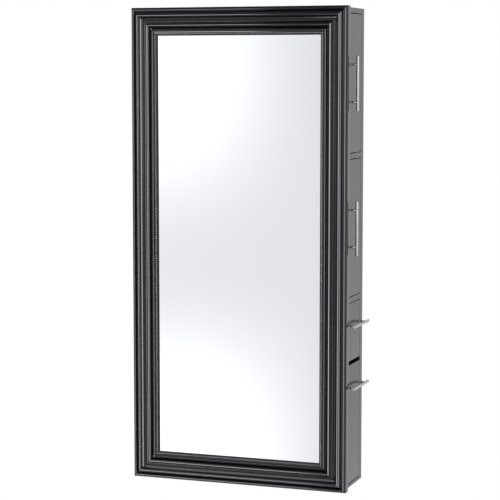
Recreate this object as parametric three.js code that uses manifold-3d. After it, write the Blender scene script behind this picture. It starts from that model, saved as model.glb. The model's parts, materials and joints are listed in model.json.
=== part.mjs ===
// Wall-hung salon styling station: a tall mirror in a reeded, mitred frame on the front of a shallow cabinet
// that opens at its right side, with two doors, a drawer and a tilt-out panel that holds hot tools.
// Millimetres, +Z up. The front faces -Y, the access side +X, and the wall is the plane Y = 0.
// The origin is the middle of the back panel's rear face.
import * as THREE from 'three';
import { mergeVertices } from 'three/addons/utils/BufferGeometryUtils.js';
import Module from 'manifold-3d';

const wasm = await Module();
wasm.setup();

// Driving dimensions of the whole station
const overallHeight = 1676;
const overallWidth = 794;
const cabinetDepth = 194;
const frameDepth = 35;
const frameSideOverhang = 7.5;
const frameEndOverhang = 5;

// Boards and the openings between them
const boardThickness = 18;
const bottomBoardThickness = 12;
const drawerFrontHeight = 203;
const cordSlotHeight = 14;
const toolPanelHeight = 418;
const drawerDeckThickness = 12;
const shelfThickness = 15;
const shelfSetback = 40;
const rearStileWidth = 30;
const cupboardDepth = 400;
const hangingRailHeight = 80;
const railHousingDepth = 3;
const cordHoleRadius = 30;
const cordHoleInset = 80;
const cordHoleRise = 90;
const reveal = 2.5;
const edgeEase = 0.8;
const fitClearance = 0.3;
const cutOverrun = 1;

// Mirror and the members of its moulding, from the outer edge inwards
const mouldingWidth = 98;
const glassThickness = 5;
const backingThickness = 18;
const rebateWidth = 8;
const glassEdgeClearance = 0.5;
const lipThickness = 2.5;
const mitreGap = 0.3;
const outerFilletWidth = 4.5;
const outerFilletDrop = 2;
const edgeBeadWidth = 6.5;
const edgeBeadRise = 3.5;
const quirkWidth = 3.5;
const quirkDrop = 3;
const reedWidth = 12;
const reedRise = 12;
const reedFootRise = 6;
const hollowWidth = 24;
const hollowFloorDrop = 2;
const shoulderRise = 1;
const torusRise = 4;
const torusFootDrop = 9;
const innerQuirkWidth = 6.5;
const innerQuirkDrop = 10;
const astragalWidth = 6;
const astragalStep = 1;
const astragalRise = 5;
const beadBedWidth = 3.5;
const beadDiameter = 8;
const lipWidth = 4;
const lipFall = 1.5;

// Bar pulls, all four alike
const pullLength = 188;
const pullCentres = 128;
const pullBarRadius = 5;
const pullPostRadius = 4;
const pullProjection = 30;
const pullEndEase = 0.8;
const doorPullInset = 10;
const frontPullDrop = 78;

// Pivots of the doors and of the tool panel
const pivotInset = 21;
const pinRadius = 3;
const pinSocketDepth = 14;
const pinReach = 8;
const sleeveWall = 2;
const sleeveSeatDepth = 12;

// Magnetic catches and strike plates
const catchHeight = 46;
const catchWidth = 14;
const catchDepth = 16;
const catchRise = 70;
const poleThickness = 1.5;
const poleProud = 1.2;
const poleSpacing = 5;
const strikeHeight = 38;
const strikeWidth = 12;
const strikeThickness = 1.5;

// Drawer and its telescopic slides
const drawerBackGap = 32;
const drawerBoxHeight = 150;
const drawerBoardThickness = 12;
const drawerBoxLift = 22;
const drawerBottomThickness = 6;
const drawerGrooveDepth = 6;
const drawerGrooveRise = 10;
const slideThickness = 13;
const slideHeight = 45;
const slideSheet = 1.2;
const slideRunningGap = 0.4;
const slideOuterFlange = 9.5;
const slideMiddleFlange = 9.4;
const slideInnerFlange = 9;
const slidePackerHeight = 60;

// Tilt-out tool panel
const toolPanelOpenDegrees = 25;
const stayOverrunDegrees = 0.6;
const trayHeight = 245;
const trayDepth = 110;
const trayWidth = 122;
const traySheet = 2;
const trayLip = 12;
const trayBackLeg = 45;
const cupWall = 1.5;
const cupRimWidth = 2.5;
const cupRimHeight = 2;
const cupHeight = 150;
const dryerCupRadius = 32;
const ironCupRadius = 21;
const cupSpacing = 2;
const traySweepClearance = 7.5;
const stayBandWidth = 18;
const stayThickness = 3;
const stayFootLength = 12;
const stayFootDepth = 4;
const stayStopRise = 7;
const stayStopLength = 10;
const stayToFrontEdge = 3;
const keeperSetback = 52;
const keeperWidth = 14;
const keeperMargin = 9;
const keeperHeight = 14;
const keeperClearance = 0.5;

// Smoothness of curved faces
const roundSides = 24;
const smallRoundSides = 16;
const cupSides = 32;
const curveSteps = 8;

// Colours and finishes
const blackLaminate = { color: 0x1c1d20, roughness: 0.38, metalness: 0 };
const blackLacquer = { color: 0x151618, roughness: 0.3, metalness: 0 };
const silveredGlass = { color: 0xe9edee, roughness: 0.02, metalness: 1 };
const rawBoard = { color: 0x8a7358, roughness: 0.9, metalness: 0 };
const brushedNickel = { color: 0xb7b3aa, roughness: 0.32, metalness: 1 };
const zincSteel = { color: 0x9b9fa3, roughness: 0.4, metalness: 1 };
const blackPlastic = { color: 0x202124, roughness: 0.55, metalness: 0 };
const greyAcetal = { color: 0xcfcfca, roughness: 0.5, metalness: 0 };
const blackPowderCoat = { color: 0x1a1b1c, roughness: 0.6, metalness: 0 };
const spunAluminium = { color: 0xc4c6c8, roughness: 0.35, metalness: 1 };

// Places worked out from the driving dimensions
const cabinetWidth = overallWidth - 2 * frameSideOverhang;
const cabinetHeight = overallHeight - 2 * frameEndOverhang;
const right = cabinetWidth / 2;
const left = -right;
const top = cabinetHeight / 2;
const bottom = -top;
const frameBack = -cabinetDepth;
const frontPanelRear = frameBack + boardThickness;
const backPanelFront = -boardThickness;
const hangingRailFront = backPanelFront - boardThickness;
const stileFront = -rearStileWidth;
const rightInner = right - boardThickness;
const leftInner = left + boardThickness;
const topUnderside = top - boardThickness;
const bottomTop = bottom + bottomBoardThickness;
const partitionRight = right - cupboardDepth;
const partitionLeft = partitionRight - boardThickness;
const lowerOpeningHeight = drawerFrontHeight + cordSlotHeight + toolPanelHeight + 2 * reveal;
const boardsInHeight = 3 * boardThickness + bottomBoardThickness;
const doorOpeningHeight = (cabinetHeight - boardsInHeight - lowerOpeningHeight) / 2;
const upperDividerTop = topUnderside - doorOpeningHeight;
const upperDividerUnderside = upperDividerTop - boardThickness;
const middleDividerTop = upperDividerUnderside - doorOpeningHeight;
const middleDividerUnderside = middleDividerTop - boardThickness;
const drawerFrontTop = middleDividerUnderside - reveal;
const drawerFrontBottom = drawerFrontTop - drawerFrontHeight;
const toolPanelTop = drawerFrontBottom - cordSlotHeight;
const toolPanelBottom = bottomTop + reveal;
const frontEdge = frontPanelRear + reveal;
const rearEdge = stileFront - reveal;
const frontWidth = rearEdge - frontEdge;
const frontMiddle = (frontEdge + rearEdge) / 2;
const doorPivotX = right - boardThickness / 2;
const doorPivotY = rearEdge - pivotInset;
const toolPivotZ = toolPanelBottom + pivotInset;
const doorHeelSweep = Math.hypot(pivotInset, boardThickness / 2);
const railEnd = doorPivotX - doorHeelSweep - reveal;
const sleeveRadius = pinRadius + fitClearance + sleeveWall;
const sleeveProud = reveal - fitClearance;
const sleeveBore = pinRadius + fitClearance;
const sleeveHole = sleeveRadius + fitClearance;
const sightLevel = backingThickness + glassThickness + fitClearance;
const bedLevel = sightLevel + lipThickness;
const drawerBoxLength = cupboardDepth - boardThickness - drawerBackGap;

// Turns a closed geometry into a solid that can be cut and joined
function toSolid(geometry) {
  const bare = geometry.clone();
  bare.deleteAttribute('normal');
  bare.deleteAttribute('uv');
  const merged = mergeVertices(bare);
  return new wasm.Manifold(new wasm.Mesh({
    numProp: 3,
    vertProperties: new Float32Array(merged.attributes.position.array),
    triVerts: new Uint32Array(merged.index.array),
  }));
}

function toGeometry(solid) {
  const mesh = solid.getMesh();
  const geometry = new THREE.BufferGeometry();
  geometry.setAttribute('position', new THREE.BufferAttribute(mesh.vertProperties, 3));
  geometry.setIndex(new THREE.BufferAttribute(mesh.triVerts, 1));
  geometry.computeVertexNormals();
  return geometry;
}

function cut(geometry, ...tools) {
  let solid = toSolid(geometry);
  for (const tool of tools) {
    solid = solid.subtract(toSolid(tool));
  }
  return toGeometry(solid);
}

function join(geometry, ...others) {
  let solid = toSolid(geometry);
  for (const other of others) {
    solid = solid.add(toSolid(other));
  }
  return toGeometry(solid);
}

// A box between a low and a high limit on each axis
function block([x0, x1], [y0, y1], [z0, z1]) {
  const geometry = new THREE.BoxGeometry(x1 - x0, y1 - y0, z1 - z0);
  return geometry.translate((x0 + x1) / 2, (y0 + y1) / 2, (z0 + z1) / 2);
}

// The same box with its edges eased, as on a lipped door
function easedBlock([x0, x1], [y0, y1], [z0, z1]) {
  const outline = new THREE.Shape();
  outline.moveTo(x0 + edgeEase, y0 + edgeEase);
  outline.lineTo(x1 - edgeEase, y0 + edgeEase);
  outline.lineTo(x1 - edgeEase, y1 - edgeEase);
  outline.lineTo(x0 + edgeEase, y1 - edgeEase);
  const geometry = new THREE.ExtrudeGeometry(outline, {
    depth: z1 - z0 - 2 * edgeEase,
    bevelThickness: edgeEase,
    bevelSize: edgeEase,
    bevelSegments: 1,
  });
  return geometry.translate(0, 0, z0 + edgeEase);
}

// A round bar along an axis, from a low to a high place on it
function rod(axis, radius, low, high, sides = roundSides) {
  const geometry = new THREE.CylinderGeometry(radius, radius, high - low, sides);
  geometry.translate(0, (low + high) / 2, 0);
  if (axis === 'x') geometry.rotateZ(-Math.PI / 2);
  if (axis === 'z') geometry.rotateX(Math.PI / 2);
  return geometry;
}

// An outline drawn in Y and Z, run along X from x0 to x1
function runAlongX(outline, x0, x1) {
  const geometry = new THREE.ExtrudeGeometry(outline, { depth: x1 - x0, bevelEnabled: false });
  return geometry.rotateX(Math.PI / 2).rotateZ(Math.PI / 2).translate(x0, 0, 0);
}

// An outline drawn in X and Z, run along Y from y0 to y1
function runAlongY(outline, y0, y1) {
  const geometry = new THREE.ExtrudeGeometry(outline, {
    depth: y1 - y0,
    bevelEnabled: false,
    curveSegments: roundSides,
  });
  return geometry.rotateX(Math.PI / 2).translate(0, y1, 0);
}

function outlineOf(points) {
  return new THREE.Shape(points.map(([across, up]) => new THREE.Vector2(across, up)));
}

function add(group, name, geometry, finish) {
  const mesh = new THREE.Mesh(geometry, new THREE.MeshStandardMaterial(finish));
  mesh.name = name;
  group.add(mesh);
}

// A plain board stands at its own middle, sized by its limits
function addBoard(group, name, [x0, x1], [y0, y1], [z0, z1], finish = blackLaminate) {
  add(group, name, new THREE.BoxGeometry(x1 - x0, y1 - y0, z1 - z0), finish);
  group.children.at(-1).position.set((x0 + x1) / 2, (y0 + y1) / 2, (z0 + z1) / 2);
}

// A hole for a pivot sleeve, from its mouth on a board's face to its closed end
function sleeveSeat(axis, mouth, end) {
  const inward = Math.sign(end - mouth);
  const from = mouth - inward * cutOverrun;
  return rod(axis, sleeveHole, Math.min(from, end), Math.max(from, end), roundSides);
}

// A sleeve bush about the Z axis, between two heights
function sleeve(low, high) {
  const points = [
    [sleeveBore, low],
    [sleeveRadius, low],
    [sleeveRadius, high],
    [sleeveBore, high],
    [sleeveBore, low],
  ];
  const profile = points.map(([across, up]) => new THREE.Vector2(across, up));
  return new THREE.LatheGeometry(profile, roundSides).rotateX(Math.PI / 2);
}

// Carcass: boards that are fixed to each other and hang on the wall

function panelWithDoorPivot(x, y, z, mouth, end) {
  const seat = sleeveSeat('z', mouth, end).translate(doorPivotX, doorPivotY, 0);
  return cut(block(x, y, z), seat);
}

function frontPanel() {
  const seat = sleeveSeat('y', frontPanelRear, frontPanelRear - sleeveSeatDepth);
  seat.translate(doorPivotX, 0, toolPivotZ);
  return cut(block([left, right], [frameBack, frontPanelRear], [bottom, top]), seat);
}

function rearStile() {
  const seat = sleeveSeat('y', stileFront, stileFront + sleeveSeatDepth);
  seat.translate(doorPivotX, 0, toolPivotZ);
  return cut(block([rightInner, right], [stileFront, 0], [bottomTop, topUnderside]), seat);
}

// The back panel has a round hole in the tool bay, where the supply lead comes in from the wall
function backPanel() {
  const hole = rod('y', cordHoleRadius, backPanelFront - cutOverrun, cutOverrun);
  hole.translate(partitionRight + cordHoleInset, 0, bottomTop + cordHoleRise);
  return cut(block([leftInner, rightInner], [backPanelFront, 0], [bottomTop, topUnderside]), hole);
}

// The hanging rail has a shallow housing across its front face, which the partition stands in
function hangingRail() {
  const housing = block(
    [partitionLeft - fitClearance, partitionRight + fitClearance],
    [hangingRailFront - cutOverrun, hangingRailFront + railHousingDepth],
    [topUnderside - hangingRailHeight - cutOverrun, topUnderside + cutOverrun],
  );
  const rail = block(
    [leftInner, railEnd],
    [hangingRailFront, backPanelFront],
    [topUnderside - hangingRailHeight, topUnderside],
  );
  return cut(rail, housing);
}

// The partition is notched at its upper rear corner, where the hanging rail passes
function innerPartition() {
  const notch = block(
    [partitionLeft - cutOverrun, partitionRight + cutOverrun],
    [hangingRailFront + railHousingDepth - fitClearance, backPanelFront + cutOverrun],
    [topUnderside - hangingRailHeight - fitClearance, topUnderside + cutOverrun],
  );
  const board = block(
    [partitionLeft, partitionRight],
    [frontPanelRear, backPanelFront],
    [bottomTop, topUnderside],
  );
  return cut(board, notch);
}

// A divider runs out to the side face between the front panel and the rear stile.
// It is notched round the stile.
function divider(underside, upper, seats) {
  const stileSide = rightInner - fitClearance;
  const stileNose = stileFront - fitClearance;
  const outline = outlineOf([
    [partitionRight, frontPanelRear],
    [right, frontPanelRear],
    [right, stileNose],
    [stileSide, stileNose],
    [stileSide, backPanelFront],
    [partitionRight, backPanelFront],
  ]);
  const board = new THREE.ExtrudeGeometry(outline, { depth: upper - underside, bevelEnabled: false });
  board.translate(0, 0, underside);
  return cut(board, ...seats.map((seat) => seat.translate(doorPivotX, doorPivotY, 0)));
}

function addCarcass(group) {
  const behindFront = [frontPanelRear, 0];
  const between = [bottomTop, topUnderside];
  add(group, 'front_panel', frontPanel(), blackLaminate);
  const topSeat = [topUnderside, topUnderside + sleeveSeatDepth];
  add(
    group,
    'top_panel',
    panelWithDoorPivot([left, right], behindFront, [topUnderside, top], ...topSeat),
    blackLaminate,
  );
  addBoard(group, 'bottom_panel', [left, right], behindFront, [bottom, bottomTop]);
  addBoard(group, 'left_side_panel', [left, leftInner], behindFront, between);
  add(group, 'rear_stile', rearStile(), blackLaminate);
  add(group, 'back_panel', backPanel(), blackLaminate);
  add(group, 'inner_partition', innerPartition(), blackLaminate);
  add(group, 'hanging_rail', hangingRail(), blackLaminate);
  const throughSeat = rod('z', sleeveHole, upperDividerUnderside - cutOverrun, upperDividerTop + cutOverrun);
  add(
    group,
    'divider_upper',
    divider(upperDividerUnderside, upperDividerTop, [throughSeat]),
    blackLaminate,
  );
  const lowerSeat = sleeveSeat('z', middleDividerTop, middleDividerTop - sleeveSeatDepth);
  add(
    group,
    'divider_middle',
    divider(middleDividerUnderside, middleDividerTop, [lowerSeat]),
    blackLaminate,
  );
  const cupboardWidth = [partitionRight, rightInner - shelfSetback];
  const inside = [frontPanelRear, backPanelFront];
  addBoard(
    group,
    'drawer_deck',
    [partitionRight, rightInner - reveal],
    inside,
    [drawerFrontBottom, drawerFrontBottom + drawerDeckThickness],
  );
  const upperShelfMiddle = (topUnderside + upperDividerTop) / 2;
  const lowerShelfMiddle = (upperDividerUnderside + middleDividerTop) / 2;
  for (const [name, middle] of [['upper_shelf', upperShelfMiddle], ['lower_shelf', lowerShelfMiddle]]) {
    const shelfSpan = [middle - shelfThickness / 2, middle + shelfThickness / 2];
    addBoard(group, name, cupboardWidth, inside, shelfSpan);
  }
}

// Sleeve bushes that the pivot pins turn in
function addSleeves(group) {
  const inBoard = sleeveSeatDepth - fitClearance;
  const doorSleeves = {
    upper_pivot_bush: sleeve(topUnderside - sleeveProud, topUnderside + inBoard),
    middle_pivot_bush: sleeve(upperDividerUnderside - sleeveProud, upperDividerTop + sleeveProud),
    lower_pivot_bush: sleeve(middleDividerTop - inBoard, middleDividerTop + sleeveProud),
  };
  for (const [name, geometry] of Object.entries(doorSleeves)) {
    add(group, name, geometry.translate(doorPivotX, doorPivotY, 0), greyAcetal);
  }
  const front = sleeve(-frontPanelRear - sleeveProud, -frontPanelRear + inBoard).rotateX(Math.PI / 2);
  add(group, 'tool_pivot_bush_front', front.translate(doorPivotX, 0, toolPivotZ), greyAcetal);
  const rear = sleeve(-stileFront - inBoard, -stileFront + sleeveProud).rotateX(Math.PI / 2);
  add(group, 'tool_pivot_bush_rear', rear.translate(doorPivotX, 0, toolPivotZ), greyAcetal);
}

// Mirror frame: one moulding profile, drawn across its width and up from the back of the frame
function mouldingProfile() {
  const profile = new THREE.Shape();
  let across = 0;
  const flat = (width, height) => {
    profile.lineTo(across, height);
    across += width;
    profile.lineTo(across, height);
  };
  const round = (width, base, crown) => {
    profile.lineTo(across, base);
    profile.absellipse(across + width / 2, base, width / 2, crown - base, Math.PI, 0, true);
    across += width;
  };
  // Rises from where the line stands to a crown midway, and falls to the foot of the next member
  const swell = (width, crown, foot) => {
    const half = width / 2;
    profile.quadraticCurveTo(across + half / 2, crown, across + half, crown);
    profile.quadraticCurveTo(across + 1.5 * half, crown, across + width, foot);
    across += width;
  };
  // Falls steeply to a floor midway, and rises to the shoulder that the next member starts from
  const hollow = (width, floor, shoulder) => {
    const half = width / 2;
    profile.quadraticCurveTo(across + half / 4, floor, across + half, floor);
    profile.quadraticCurveTo(across + 1.5 * half, floor, across + width, shoulder);
    across += width;
  };
  const edgeMembers = outerFilletWidth + edgeBeadWidth + quirkWidth;
  const outerMembers = edgeMembers + reedWidth + hollowWidth;
  const innerMembers = innerQuirkWidth + astragalWidth + beadBedWidth + beadDiameter + lipWidth;
  const torusWidth = mouldingWidth - outerMembers - innerMembers;
  const filletLevel = frameDepth - outerFilletDrop;
  const astragalLevel = bedLevel + astragalStep;

  profile.moveTo(0, 0);
  flat(outerFilletWidth, filletLevel);
  round(edgeBeadWidth, filletLevel, filletLevel + edgeBeadRise);
  flat(quirkWidth, frameDepth - quirkDrop);
  profile.lineTo(across, frameDepth);
  swell(reedWidth, frameDepth + reedRise, frameDepth + reedFootRise);
  hollow(hollowWidth, frameDepth - hollowFloorDrop, frameDepth + shoulderRise);
  swell(torusWidth, frameDepth + torusRise, frameDepth - torusFootDrop);
  flat(innerQuirkWidth, frameDepth - innerQuirkDrop);
  round(astragalWidth, astragalLevel, astragalLevel + astragalRise);
  flat(beadBedWidth, bedLevel);
  round(beadDiameter, bedLevel, bedLevel + beadDiameter / 2);
  profile.lineTo(mouldingWidth, bedLevel - lipFall);
  profile.lineTo(mouldingWidth, sightLevel);
  profile.lineTo(mouldingWidth - rebateWidth, sightLevel);
  profile.lineTo(mouldingWidth - rebateWidth, 0);
  return profile;
}

// The profile is run one unit long, and then each end is drawn out along the frame to its mitre
function mitredMoulding(length) {
  const unit = { depth: 1, bevelEnabled: false, curveSegments: curveSteps };
  const geometry = new THREE.ExtrudeGeometry(mouldingProfile(), unit);
  const place = geometry.attributes.position;
  for (let i = 0; i < place.count; i += 1) {
    const across = place.getX(i);
    const forward = place.getY(i);
    const end = place.getZ(i) > 0.5 ? -1 : 1;
    place.setXYZ(i, end * (length / 2 - across - mitreGap / 2), -forward, -across);
  }
  geometry.computeVertexNormals();
  return geometry;
}

function addFrame(group) {
  const sides = [
    ['frame_top', overallWidth, overallHeight, 0],
    ['frame_right', overallHeight, overallWidth, 1],
    ['frame_bottom', overallWidth, overallHeight, 2],
    ['frame_left', overallHeight, overallWidth, 3],
  ];
  for (const [name, length, spanAcross, quarterTurns] of sides) {
    const turned = new THREE.Group();
    turned.rotation.y = quarterTurns * Math.PI / 2;
    turned.position.y = frameBack;
    add(turned, name, mitredMoulding(length).translate(0, 0, spanAcross / 2), blackLacquer);
    group.add(turned);
  }
}

function addMirror(group) {
  const outerToGlass = mouldingWidth - rebateWidth + glassEdgeClearance;
  const halfWidth = overallWidth / 2 - outerToGlass;
  const halfHeight = overallHeight / 2 - outerToGlass;
  const backingFront = frameBack - backingThickness;
  const across = [-halfWidth, halfWidth];
  const up = [-halfHeight, halfHeight];
  addBoard(group, 'mirror_backing', across, [backingFront, frameBack], up, rawBoard);
  addBoard(group, 'mirror_glass', across, [backingFront - glassThickness, backingFront], up, silveredGlass);
}

// A bar pull that stands on the plane X = 0, with its bar along Z
function barPull() {
  const barAxis = pullProjection - pullBarRadius;
  const bar = new THREE.LatheGeometry([
    new THREE.Vector2(0, -pullLength / 2),
    new THREE.Vector2(pullBarRadius - pullEndEase, -pullLength / 2),
    new THREE.Vector2(pullBarRadius, -pullLength / 2 + pullEndEase),
    new THREE.Vector2(pullBarRadius, pullLength / 2 - pullEndEase),
    new THREE.Vector2(pullBarRadius - pullEndEase, pullLength / 2),
    new THREE.Vector2(0, pullLength / 2),
  ], roundSides);
  bar.rotateX(Math.PI / 2).translate(barAxis, 0, 0);
  const posts = [-1, 1].map((end) => {
    const post = rod('x', pullPostRadius, 0, barAxis, smallRoundSides);
    return post.translate(0, 0, end * pullCentres / 2);
  });
  return join(bar, ...posts);
}

// A pull laid level, with its bar along Y
const levelPull = () => barPull().rotateX(Math.PI / 2);

// Strike plate on the inner face of a front, and the magnetic catch that holds it
function strikePlate() {
  return block(
    [-strikeThickness, 0],
    [-strikeWidth / 2, strikeWidth / 2],
    [-strikeHeight / 2, strikeHeight / 2],
  );
}

function magneticCatch() {
  const body = block([-catchDepth, -poleProud], [0, catchWidth], [-catchHeight / 2, catchHeight / 2]);
  const poles = [-1, 1].map((side) => {
    const middle = catchWidth / 2 + side * poleSpacing / 2;
    return block(
      [-catchDepth / 2, 0],
      [middle - poleThickness / 2, middle + poleThickness / 2],
      [-strikeHeight / 2, strikeHeight / 2],
    );
  });
  return join(body, ...poles);
}

// A catch is screwed to the front panel's rear face, level with its door's strike plate
function addCatch(group, name, height) {
  const face = rightInner - strikeThickness - fitClearance;
  add(group, name, magneticCatch().translate(face, frontPanelRear, height), blackPlastic);
}

// A door hangs on two pins near its rear edge.
// Its group stands on the pivot axis, at the door's middle height.
function makeDoor(name, openingTop, openingUnderside) {
  const group = new THREE.Group();
  const middle = (openingTop + openingUnderside) / 2;
  group.position.set(doorPivotX, doorPivotY, middle);
  const halfHeight = (openingTop - openingUnderside) / 2 - reveal;
  const halfThickness = boardThickness / 2;
  const freeEdge = frontEdge - doorPivotY;
  const socketEnd = halfHeight - pinSocketDepth;
  const panel = easedBlock(
    [-halfThickness, halfThickness],
    [freeEdge, pivotInset],
    [-halfHeight, halfHeight],
  );
  const upperSocket = rod('z', sleeveBore, socketEnd, halfHeight + cutOverrun);
  const lowerSocket = rod('z', sleeveBore, -halfHeight - cutOverrun, -socketEnd);
  add(group, name, cut(panel, upperSocket, lowerSocket), blackLaminate);
  const pinRoot = socketEnd + fitClearance;
  const pinTip = halfHeight + reveal + pinReach;
  add(group, `${name}_top_pin`, rod('z', pinRadius, pinRoot, pinTip), zincSteel);
  add(group, `${name}_bottom_pin`, rod('z', pinRadius, -pinTip, -pinRoot), zincSteel);
  const pull = barPull().translate(halfThickness, freeEdge + doorPullInset, 0);
  add(group, `${name}_pull`, pull, brushedNickel);
  const strikeMiddle = frontPanelRear + catchWidth / 2 - doorPivotY;
  const strike = strikePlate().translate(-halfThickness, strikeMiddle, catchRise);
  add(group, `${name}_strike`, strike, zincSteel);
  return group;
}

// Telescopic slide: three channels nested in each other, drawn from the fixed face (0) towards the drawer
function channelOutline(halfHeight, webFace, webBack, flangeTip, side) {
  const inner = halfHeight - slideSheet;
  return outlineOf([
    [side * webFace, -halfHeight],
    [side * flangeTip, -halfHeight],
    [side * flangeTip, -inner],
    [side * webBack, -inner],
    [side * webBack, inner],
    [side * flangeTip, inner],
    [side * flangeTip, halfHeight],
    [side * webFace, halfHeight],
  ]);
}

function slideMembers(side) {
  const outerHalf = slideHeight / 2;
  const middleHalf = outerHalf - slideSheet - slideRunningGap;
  const innerHalf = middleHalf - slideSheet - slideRunningGap;
  const middleFace = slideSheet + slideRunningGap;
  const middleTip = middleFace + slideMiddleFlange;
  const innerTip = slideThickness - slideInnerFlange;
  const innerBack = slideThickness - slideSheet;
  return {
    outer: channelOutline(outerHalf, 0, slideSheet, slideOuterFlange, side),
    middle: channelOutline(middleHalf, middleFace, middleFace + slideSheet, middleTip, side),
    inner: channelOutline(innerHalf, slideThickness, innerBack, innerTip, side),
  };
}

// The fixed faces of the two slides, and the middle height that all members share
const slideHeightMiddle = drawerFrontBottom + drawerBoxLift + drawerBoxHeight / 2;
const slideSpan = [rightInner - drawerBoxLength, rightInner];
const slideFaces = [
  ['front', frontPanelRear, 1],
  ['rear', stileFront, -1],
];

function addSlideMembers(group, member) {
  for (const [name, face, side] of slideFaces) {
    const channel = runAlongX(slideMembers(side)[member], ...slideSpan);
    channel.translate(0, face, slideHeightMiddle);
    add(group, `drawer_slide_${member}_${name}`, channel, zincSteel);
  }
}

// The packer brings the rear slide level with the stile, so that the drawer passes it
function addSlidePacker(group) {
  const half = slidePackerHeight / 2;
  addBoard(
    group,
    'slide_packer',
    slideSpan,
    [stileFront, backPanelFront],
    [slideHeightMiddle - half, slideHeightMiddle + half],
  );
}

// Drawer: its group stands at the foot of the drawer front, in the middle of its width
function makeDrawer() {
  const group = new THREE.Group();
  group.position.set(right, frontMiddle, drawerFrontBottom);
  const halfFront = frontWidth / 2;
  add(
    group,
    'drawer_front',
    easedBlock([-boardThickness, 0], [-halfFront, halfFront], [0, drawerFrontHeight]),
    blackLaminate,
  );
  add(
    group,
    'drawer_front_pull',
    levelPull().translate(0, 0, drawerFrontHeight - frontPullDrop),
    brushedNickel,
  );
  const boxOuter = (stileFront - frontPanelRear) / 2 - slideThickness;
  const boxInner = boxOuter - drawerBoardThickness;
  const boxFront = -boardThickness;
  const boxBack = boxFront - drawerBoxLength;
  const boxTop = drawerBoxLift + drawerBoxHeight;
  const grooveLow = drawerBoxLift + drawerGrooveRise;
  const grooveHigh = grooveLow + drawerBottomThickness + 2 * fitClearance;
  const grooveEnd = boxInner + drawerGrooveDepth;
  for (const [name, side] of [['front', -1], ['rear', 1]]) {
    const section = outlineOf([
      [side * boxOuter, drawerBoxLift],
      [side * boxOuter, boxTop],
      [side * boxInner, boxTop],
      [side * boxInner, grooveHigh],
      [side * grooveEnd, grooveHigh],
      [side * grooveEnd, grooveLow],
      [side * boxInner, grooveLow],
      [side * boxInner, drawerBoxLift],
    ]);
    add(group, `drawer_side_${name}`, runAlongX(section, boxBack, boxFront), blackLaminate);
  }
  addBoard(
    group,
    'drawer_back',
    [boxBack, boxBack + drawerBoardThickness],
    [-boxInner, boxInner],
    [grooveHigh, boxTop],
  );
  addBoard(
    group,
    'drawer_bottom',
    [boxBack, boxFront],
    [-grooveEnd + fitClearance, grooveEnd - fitClearance],
    [grooveLow + fitClearance, grooveHigh - fitClearance],
  );
  return group;
}

// Tool panel: its group stands on the pivot axis near its foot, in the middle of its width
function makeToolPanel() {
  const group = new THREE.Group();
  group.position.set(doorPivotX, frontMiddle, toolPivotZ);
  const halfThickness = boardThickness / 2;
  const halfWidth = frontWidth / 2;
  const panelTop = toolPanelTop - toolPivotZ;
  const panel = easedBlock(
    [-halfThickness, halfThickness],
    [-halfWidth, halfWidth],
    [-pivotInset, panelTop],
  );
  const socketEnd = halfWidth - pinSocketDepth;
  const frontSocket = rod('y', sleeveBore, -halfWidth - cutOverrun, -socketEnd);
  const rearSocket = rod('y', sleeveBore, socketEnd, halfWidth + cutOverrun);
  add(group, 'tool_panel', cut(panel, frontSocket, rearSocket), blackLaminate);
  const pinRoot = socketEnd + fitClearance;
  const pinTip = halfWidth + reveal + pinReach;
  add(group, 'tool_pivot_pin_front', rod('y', pinRadius, -pinTip, -pinRoot), zincSteel);
  add(group, 'tool_pivot_pin_rear', rod('y', pinRadius, pinRoot, pinTip), zincSteel);
  const pull = levelPull().translate(halfThickness, 0, panelTop - frontPullDrop);
  add(group, 'tool_panel_pull', pull, brushedNickel);
  addToolTray(group, -halfThickness);
  addStay(group, -halfThickness, -halfWidth);
  return group;
}

// Places of the three cups in the tray, as [name, radius, X, Y] with X inwards from the panel's inner face
function cupPlaces() {
  const dryerRim = dryerCupRadius + cupRimWidth;
  const ironRim = ironCupRadius + cupRimWidth;
  const rowWidth = 2 * dryerRim + cupSpacing + 2 * ironRim;
  const dryerY = -rowWidth / 2 + dryerRim;
  const ironY = rowWidth / 2 - ironRim;
  const ironOffset = ironRim + cupSpacing / 2;
  const middle = -trayDepth / 2;
  return [
    ['dryer_cup', dryerCupRadius, middle, dryerY],
    ['iron_cup_outer', ironCupRadius, middle + ironOffset, ironY],
    ['iron_cup_inner', ironCupRadius, middle - ironOffset, ironY],
  ];
}

// A folded sheet tray with a back leg on the panel, turned-down lips and a hole for each cup
function addToolTray(group, panelFace) {
  const near = panelFace;
  const far = panelFace - trayDepth;
  const half = trayWidth / 2;
  const plate = block([far, near], [-half, half], [trayHeight - traySheet, trayHeight]);
  const backLeg = block([near - traySheet, near], [-half, half], [trayHeight - trayBackLeg, trayHeight]);
  const farLip = block([far, far + traySheet], [-half, half], [trayHeight - trayLip, trayHeight]);
  const sideLips = [-1, 1].map((side) => {
    const edges = [side * half, side * (half - traySheet)].sort((a, b) => a - b);
    return block([far, near], edges, [trayHeight - trayLip, trayHeight]);
  });
  const holes = cupPlaces().map(([, radius, x, y]) => {
    const hole = rod(
      'z',
      radius + fitClearance,
      trayHeight - traySheet - cutOverrun,
      trayHeight + cutOverrun,
      cupSides,
    );
    return hole.translate(panelFace + x, y, 0);
  });
  const tray = join(plate, backLeg, farLip, ...sideLips);
  add(group, 'tool_tray', cut(tray, ...holes), blackPowderCoat);
  for (const [name, radius, x, y] of cupPlaces()) {
    const cup = toolCup(radius).translate(panelFace + x, y, trayHeight + fitClearance);
    add(group, name, cup, spunAluminium);
  }
}

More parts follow.
